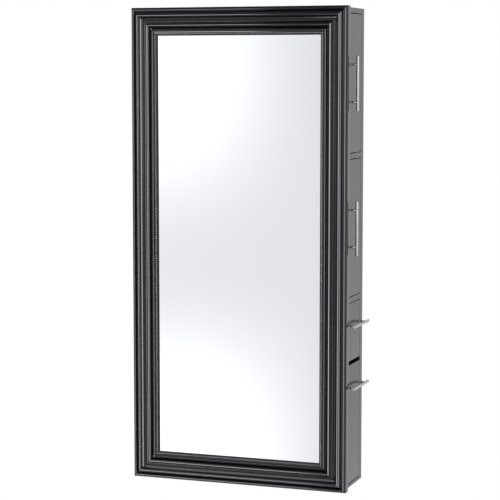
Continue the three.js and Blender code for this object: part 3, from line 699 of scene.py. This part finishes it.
def bar_pull(node, upright):
    """A bar on two posts. The bar is upright on a door and level on a front."""
    low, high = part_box(node)
    centre = (Vector(low) + Vector(high)) / 2
    half = (high[2] - low[2] if upright else high[1] - low[1]) / 2
    bar_x = high[0] - BAR_RADIUS
    face_x = low[0]
    lie = Matrix.Identity(4) if upright else Matrix.Rotation(-math.pi / 2, 4, "X")
    middle = Matrix.Translation((bar_x, centre.y, centre.z)) @ lie
    bar = [
        (NEAR_AXIS, -half + 0.0002), (0.0028, -half + 0.00012), (0.0041, -half), (0.0046, -half + 0.00025),
        (0.0049, -half + 0.0006), (BAR_RADIUS, -half + 0.0011),
        (BAR_RADIUS, 0),
        (BAR_RADIUS, half - 0.0011), (0.0049, half - 0.0006),
        (0.0046, half - 0.00025), (0.0041, half), (0.0028, half - 0.00012), (NEAR_AXIS, half - 0.0002),
    ]
    parts = [turned(f"{node}_bar", bar, PULL_SIDES, middle)]
    reach = bar_x - face_x
    post = [
        (NEAR_AXIS, 0), (0.0047, 0), (0.0048, 0.0003), (0.0048, 0.0012), (0.0044, 0.0016), (POST_RADIUS, 0.0022),
        (POST_RADIUS, reach - 0.0056), (0.0036, reach - 0.0052), (0.0036, reach - 0.0046),
        (0.0042, reach - 0.0042), (0.0042, reach - 0.002), (NEAR_AXIS, reach - 0.002),
    ]
    outward = Matrix.Rotation(math.pi / 2, 4, "Y")
    for side in (-1, 1):
        step = side * POST_SPACING / 2
        offset = Vector((0, 0, step) if upright else (0, step, 0))
        foot = Matrix.Translation(Vector((face_x, centre.y, centre.z)) + offset)
        parts.append(turned(f"{node}_post", post, POST_SIDES, foot @ outward))
    mesh = joined(f"{node}_bar_and_posts", parts)
    smooth_between(mesh, 32)
    new_piece(
        f"{node}_bar_and_posts", mesh, [finish["brushed_nickel"]], body_of_node[node], [node]
    )


for node, upright in (
    ("upper_door_pull", True), ("lower_door_pull", True),
    ("drawer_front_pull", False), ("tool_panel_pull", False),
):
    bar_pull(node, upright)


# Tool cups, spun with a rolled rim

CUP_SIDES = 72
CUP_RIM_WIDTH = 0.0025
CUP_RIM_DEPTH = 0.002
CUP_SHEET = 0.0015


def spun_cup(node):
    """A cup with a rolled rim that rests on the tray and a wall as thick as spun sheet."""
    low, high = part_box(node)
    centre = (Vector(low) + Vector(high)) / 2
    rim = (high[0] - low[0]) / 2
    wall = rim - CUP_RIM_WIDTH
    floor, lip = low[2], high[2]
    under_rim = lip - CUP_RIM_DEPTH
    inner = wall - CUP_SHEET
    profile = [
        (NEAR_AXIS, floor), (wall - 0.003, floor), (wall - 0.001, floor + 0.0008), (wall, floor + 0.003),
        (wall, under_rim), (rim - 0.0007, under_rim), (rim, under_rim + 0.0006), (rim, lip - 0.0006),
        (rim - 0.0007, lip), (inner + 0.0008, lip), (inner, lip - 0.0008),
        (inner, floor + 0.0042), (inner - 0.001, floor + 0.0022), (inner - 0.003, floor + CUP_SHEET),
        (NEAR_AXIS, floor + CUP_SHEET),
    ]
    mesh = turned(f"{node}_spun", profile, CUP_SIDES, Matrix.Translation((centre.x, centre.y, 0)))
    smooth_between(mesh, 50)
    new_piece(
        f"{node}_spun", mesh, [finish["spun_aluminium"]], body_of_node[node], [node]
    )


for node in ("dryer_cup", "iron_cup_outer", "iron_cup_inner"):
    spun_cup(node)


# Ring round the cord hole, flush with the wall behind

HOLE = Vector((0.0695, 0.0, -0.731))
RING_SIDES = 64
hole_ring = [
    (0.0272, -0.0006), (0.0276, 0.0), (0.0296, 0.0), (0.0298, -0.0006), (0.0298, -0.0179), (0.0345, -0.0181),
    (0.035, -0.0188), (0.0342, -0.0196), (0.0288, -0.02), (0.0272, -0.0188), (0.0272, -0.0006),
]
mesh = turned(
    "cord_hole_ring", hole_ring, RING_SIDES,
    Matrix.Translation(HOLE) @ Matrix.Rotation(-math.pi / 2, 4, "X"), caps=False,
)
smooth_between(mesh, 35)
new_piece("cord_hole_ring", mesh, [finish["black_plastic"]], "root")


# Screws and shelf pins, set out by geometry nodes

def screw_head():
    """A pan head with a cross recess, one unit across and one high."""
    sides = 16
    arms = [0.29 if i % 4 == 0 else 0.09 for i in range(sides)]
    rows = [([0.5] * sides, 0), ([0.5] * sides, 0.35), ([0.43] * sides, 0.8), ([0.31] * sides, 1), (arms, 1)]
    rows.append(([0.75 * reach for reach in arms], 0.4))
    rings = [
        [(r * math.cos(2 * math.pi * i / sides), r * math.sin(2 * math.pi * i / sides), height)
         for i, r in enumerate(radii)]
        for radii, height in rows
    ]
    return mesh_from("screw_head", rings)


def shelf_pin():
    """A peg with a collar, one unit across its collar and one long."""
    profile = [
        (NEAR_AXIS, 0), (0.5, 0), (0.5, 0.12), (0.46, 0.16), (0.333, 0.16), (0.333, 0.9), (0.28, 1), (NEAR_AXIS, 1),
    ]
    return turned("shelf_pin", profile, 20, Matrix.Identity(4))


def fastener_tree():
    """A tree that stands a shape on each point, along one axis, each turned by its own amount."""
    tree = bpy.data.node_groups.new("fasteners", "GeometryNodeTree")
    face = tree.interface
    for name, kind in (
        ("Geometry", "Geometry"), ("Shape", "Object"), ("Axis", "Vector"), ("Size", "Vector"), ("Seed", "Int"),
        ("Finish", "Material"),
    ):
        face.new_socket(name, in_out="INPUT", socket_type=f"NodeSocket{kind}")
    face.new_socket("Geometry", in_out="OUTPUT", socket_type="NodeSocketGeometry")
    given = add_node(tree, "NodeGroupInput").outputs
    shape = add_node(tree, "GeometryNodeObjectInfo", {"Object": given["Shape"]}).outputs["Geometry"]
    turn = add_node(
        tree, "FunctionNodeRandomValue", {2: 0.0, 3: 2 * math.pi, "Seed": given["Seed"]}, data_type="FLOAT"
    ).outputs[1]
    upright = add_node(tree, "FunctionNodeAlignRotationToVector", {"Vector": given["Axis"]}, axis="Z")
    twist = add_node(tree, "FunctionNodeAxisAngleToRotation", {"Axis": (0, 0, 1), "Angle": turn}).outputs[0]
    facing = add_node(
        tree, "FunctionNodeRotateRotation", {0: upright.outputs[0], 1: twist}, rotation_space="LOCAL"
    ).outputs[0]
    stood = add_node(
        tree,
        "GeometryNodeInstanceOnPoints",
        {"Points": given["Geometry"], "Instance": shape, "Rotation": facing, "Scale": given["Size"]},
    ).outputs[0]
    solid = add_node(tree, "GeometryNodeRealizeInstances", {"Geometry": stood}).outputs[0]
    dressed = add_node(
        tree, "GeometryNodeSetMaterial", {"Geometry": solid, "Material": given["Finish"]}
    ).outputs[0]
    out = add_node(tree, "NodeGroupOutput")
    tree.links.new(dressed, out.inputs["Geometry"])
    return tree


fasteners = fastener_tree()
shapes = {}
for shape in (screw_head(), shelf_pin()):
    shapes[shape.name] = bpy.data.objects.new(f"{shape.name}_shape", shape)


def stand_on(name, shape, body, slot, axis, size_mm, points_mm):
    """Fasteners of one kind on one body, at points given in millimetres."""
    mesh = grown(name, fasteners, {
        "Shape": shapes[shape],
        "Axis": axis,
        "Size": tuple(length * MM for length in size_mm),
        "Seed": 7,
        "Finish": finish[slot],
    }, [Vector(point) * MM for point in points_mm])
    face_outwards(mesh, 1e-8)
    smooth_between(mesh, 30)
    new_piece(name, mesh, [finish[slot]], body)


stand_on(
    "catch_screws", "screw_head", "root", "zinc_steel", (0, 1, 0), (6, 6, 1.6),
    [(359, -162, z) for z in (132, 162, 630, 660)],
)
STRIKE_SCREW_MM = (5, 5, 0.12)
PULL_SCREW_MM = (8, 8, 2.4)
# The inner face of the doors and fronts, the face of a strike plate and its middle, and the lines of the pull posts
INNER_X, STRIKE_X, STRIKE_Y, DOOR_POST_Y, FRONT_POST_Y, REAR_POST_Y = 371.5, 370, -169, -163.5, -167, -39
for name, body, size_mm, points_mm in (
    ("upper_strike_screws", "upper_door_body", STRIKE_SCREW_MM, [(STRIKE_X, STRIKE_Y, z) for z in (631, 659)]),
    ("lower_strike_screws", "lower_door_body", STRIKE_SCREW_MM, [(STRIKE_X, STRIKE_Y, z) for z in (133, 161)]),
    ("upper_pull_screw", "upper_door_body", PULL_SCREW_MM, [(INNER_X, DOOR_POST_Y, 511)]),
    ("lower_pull_screw", "lower_door_body", PULL_SCREW_MM, [(INNER_X, DOOR_POST_Y, 13)]),
    ("drawer_pull_screws", "drawer_body", PULL_SCREW_MM, [
        (INNER_X, y, -261.5) for y in (REAR_POST_Y, FRONT_POST_Y)
    ]),
    ("tool_pull_screw", "tool_panel_body", PULL_SCREW_MM, [(INNER_X, REAR_POST_Y, -478.5)]),
):
    stand_on(name, "screw_head", body, "zinc_steel", (-1, 0, 0), size_mm, points_mm)
# Two pins in each wall carry a shelf, with their collars touching its underside
PIN_COLLAR_MM = 7.5
PIN_LENGTH_MM = 9
SHELF_UNDERSIDES_MM = (69.5, 567.5)
for name, side, wall in (("shelf_pins_front", 1, -176), ("shelf_pins_rear", -1, -18)):
    stand_on(
        name, "shelf_pin", "root", "zinc_steel", (0, side, 0), (PIN_COLLAR_MM, PIN_COLLAR_MM, PIN_LENGTH_MM),
        [(x, wall, z - PIN_COLLAR_MM / 2) for x in (40, 280) for z in SHELF_UNDERSIDES_MM],
    )
for shape in shapes.values():
    bpy.data.objects.remove(shape)


# Camera at the photograph's viewing angle

camera_data = bpy.data.cameras.new("camera")
camera_data.sensor_width = 36
camera_data.lens = 125.72
camera = bpy.data.objects.new("camera", camera_data)
bpy.context.scene.collection.objects.link(camera)
camera.location = (2.06925, -5.92324, 0.61547)
target = Vector((-0.03347, 0.0, -0.02684))
camera.rotation_euler = (target - camera.location).to_track_quat("-Z", "Y").to_euler()
camera_data.clip_end = 100
bpy.context.scene.camera = camera


# Studio: pale floor, soft lamps, and a world that is white behind the object and graded in reflections

FLOOR_DROP = 0.30
FLOOR_GLOW = 0.42
FLOOR_CORNERS = [(-1.1, -2.0), (1.5, -2.0), (1.5, 0.2), (-1.1, 0.2)]
AMBIENT = 0.7
GLOSSY_BASE = 0.15
REFLECTED_WHITE = (0.98, 0.972, 0.99, 1)
STRIP_COLOUR = (1.0, 0.93, 1.0)
# Each panel of the reflected world: its span in degrees from front to the right, its span in degrees upwards, the
# degrees that it fades out over, and its brightness. The first four make the fields that the mirror shows.
PANELS = [
    ((-29, -18), (-18, 8), 8, 0.71),
    ((-44, -24), (-18, 8), 7, 0.065),
    ((-50, -23), (0, 30), 6, 0.5),
    ((-50, -22), (-32, -12.5), 6, 0.55),
    ((4, 70), (-40, 45), 14, 0.5),
    ((-180, 180), (-90, -52), 14, 0.7),
    ((96, 180), (-45, 60), 16, 0.74),
    ((-180, -125), (-45, 60), 20, 0.35),
]


def studio_floor():
    """A plain pale floor under the part, white to the camera and matt to everything else."""
    material = bpy.data.materials.new("floor_paper")
    material.use_nodes = True
    tree = material.node_tree
    tree.nodes.clear()
    diffuse = add_node(tree, "ShaderNodeBsdfDiffuse", {"Color": (0.82, 0.82, 0.82, 1)})
    glow = add_node(tree, "ShaderNodeEmission", {"Color": (1, 1, 1, 1), "Strength": FLOOR_GLOW})
    both = add_node(tree, "ShaderNodeAddShader", {0: diffuse.outputs[0], 1: glow.outputs[0]})
    path = add_node(tree, "ShaderNodeLightPath")
    seen = add_node(
        tree, "ShaderNodeMixShader", {0: path.outputs["Is Camera Ray"], 1: diffuse.outputs[0], 2: both.outputs[0]}
    )
    output = add_node(tree, "ShaderNodeOutputMaterial")
    tree.links.new(seen.outputs[0], output.inputs["Surface"])
    low, _ = cad_bounds
    mesh = bpy.data.meshes.new("floor")
    height = low[2] - FLOOR_DROP
    mesh.from_pydata([(x, y, height) for x, y in FLOOR_CORNERS], [], [(0, 1, 2, 3)])
    mesh.materials.append(material)
    floor = bpy.data.objects.new("floor", mesh)
    bpy.context.scene.collection.objects.link(floor)
    floor.visible_glossy = False


def area_lamp(name, place, aim, size, radiance):
    """A soft rectangular lamp that the camera doesn't see, with a brightness that doesn't depend on its size."""
    data = bpy.data.lights.new(name, "AREA")
    data.shape = "RECTANGLE"
    data.size, data.size_y = size
    data.energy = radiance * math.pi * size[0] * size[1]
    lamp = bpy.data.objects.new(name, data)
    bpy.context.scene.collection.objects.link(lamp)
    lamp.visible_camera = False
    lamp.location = place
    lamp.rotation_euler = (Vector(aim) - Vector(place)).to_track_quat("-Z", "Y").to_euler()
    return lamp


def light_only(lamp, names):
    """Keeps a lamp to some pieces, so that it draws lines of light along them and shows in nothing else."""
    lit = bpy.data.collections.new(f"{lamp.name}_lit")
    for name in names:
        lit.objects.link(bpy.data.objects[name])
    lamp.light_linking.receiver_collection = lit


def studio_world():
    """White to the camera, even to matt surfaces, and pale panels on a dark ground to shiny ones."""
    world = bpy.data.worlds.new("studio")
    bpy.context.scene.world = world
    # Sampled as a light, the world would be read without its glossy flag, which dulls every reflection
    world.cycles.sampling_method = "NONE"
    world.use_nodes = True
    tree = world.node_tree
    tree.nodes.clear()
    direction = add_node(tree, "ShaderNodeTexCoord").outputs["Generated"]
    east, north, up = add_node(tree, "ShaderNodeSeparateXYZ", {0: direction}).outputs

    def maths(operation, first, second=0.0):
        return add_node(tree, "ShaderNodeMath", {0: first, 1: second}, operation=operation).outputs[0]

    turn = maths("DEGREES", maths("ARCTAN2", east, maths("MULTIPLY", north, -1.0)))
    rise = maths("DEGREES", maths("ARCSINE", up))

    def between(angle, low, high, fade):
        """1 from a low to a high angle, and fading out over some degrees beyond each."""
        sides = []
        for outer, inner in ((low - fade, low), (high + fade, high)):
            sides.append(add_node(
                tree,
                "ShaderNodeMapRange",
                {"Value": angle, "From Min": outer, "From Max": inner, "To Min": 0.0, "To Max": 1.0},
                interpolation_type="SMOOTHSTEP",
            ).outputs["Result"])
        return maths("MULTIPLY", *sides)

    total = GLOSSY_BASE
    for (left, right), (low, high), fade, radiance in PANELS:
        panel = maths("MULTIPLY", between(turn, left, right, fade), between(rise, low, high, fade))
        total = maths("ADD", maths("MULTIPLY", panel, radiance), total)
    reflected = add_node(tree, "ShaderNodeBackground", {"Color": REFLECTED_WHITE, "Strength": total})
    ambient = add_node(tree, "ShaderNodeBackground", {"Color": (1, 1, 1, 1), "Strength": AMBIENT})
    behind = add_node(tree, "ShaderNodeBackground", {"Color": (1, 1, 1, 1), "Strength": 1.0})
    path = add_node(tree, "ShaderNodeLightPath")
    shiny = add_node(
        tree, "ShaderNodeMath",
        {0: path.outputs["Is Glossy Ray"], 1: path.outputs["Is Transmission Ray"]}, operation="MAXIMUM",
    ).outputs[0]
    lighting = add_node(tree, "ShaderNodeMixShader", {0: shiny, 1: ambient.outputs[0], 2: reflected.outputs[0]})
    seen = add_node(
        tree, "ShaderNodeMixShader",
        {0: path.outputs["Is Camera Ray"], 1: lighting.outputs[0], 2: behind.outputs[0]},
    )
    output = add_node(tree, "ShaderNodeOutputWorld")
    tree.links.new(seen.outputs[0], output.inputs["Surface"])


studio_floor()
studio_world()
area_lamp("key_softbox", (1.7, -2.4, 0.7), (0.1, -0.2, 0), (2.2, 1.4), 1.1)
area_lamp("fill_softbox", (-2.6, -2.8, 0.8), (0, -0.2, 0), (1.6, 1.6), 0.6)
# Strips that are linked to one side of the frame, or to the door pulls, and draw the lines of light along them
LEFT, RIGHT, TOP, BOTTOM = (f"frame_{side}_moulding" for side in ("left", "right", "top", "bottom"))
for name, place, aim, size, radiance, lit_pieces in (
    ("left_strip", (-1.45, -1.85, 0), (-0.35, -0.2, 0), (0.8, 3.4), 17.0, [LEFT, "bead_row"]),
    ("left_glance", (1.5, -0.95, 0), (-0.35, -0.2, 0), (0.7, 3.4), 9.0, [LEFT]),
    ("right_strip", (0.55, -2.2, 0), (0.35, -0.2, 0), (1.5, 3.4), 12.0, [RIGHT]),
    ("right_glance", (2.45, -0.4, 0), (0.35, -0.2, 0), (0.9, 3.4), 5.0, [RIGHT]),
    ("top_strip", (-1.25, -2.3, 0.95), (0, -0.2, 0.8), (1.2, 0.9), 12.0, [TOP]),
    ("top_glow", (0.12, -0.9, -0.9), (0, -0.2, 0.8), (0.8, 0.8), 3.4, [TOP]),
    ("bottom_strip", (-1.05, -1.9, -1.5), (0, -0.2, -0.75), (1.6, 0.55), 23.0, [BOTTOM]),
    ("bottom_glow", (-0.6, -1.2, 0.6), (0, -0.2, -0.75), (1.6, 1.2), 2.4, [BOTTOM]),
    ("pull_strip", (1.9, -1.2, 0.1), (0.42, -0.1, 0.4), (0.5, 2.6), 2.6,
     ["upper_door_pull_bar_and_posts", "lower_door_pull_bar_and_posts"]),
):
    strip = area_lamp(name, place, aim, size, radiance)
    strip.data.color = STRIP_COLOUR
    light_only(strip, lit_pieces)

bpy.context.scene.view_settings.view_transform = "Standard"
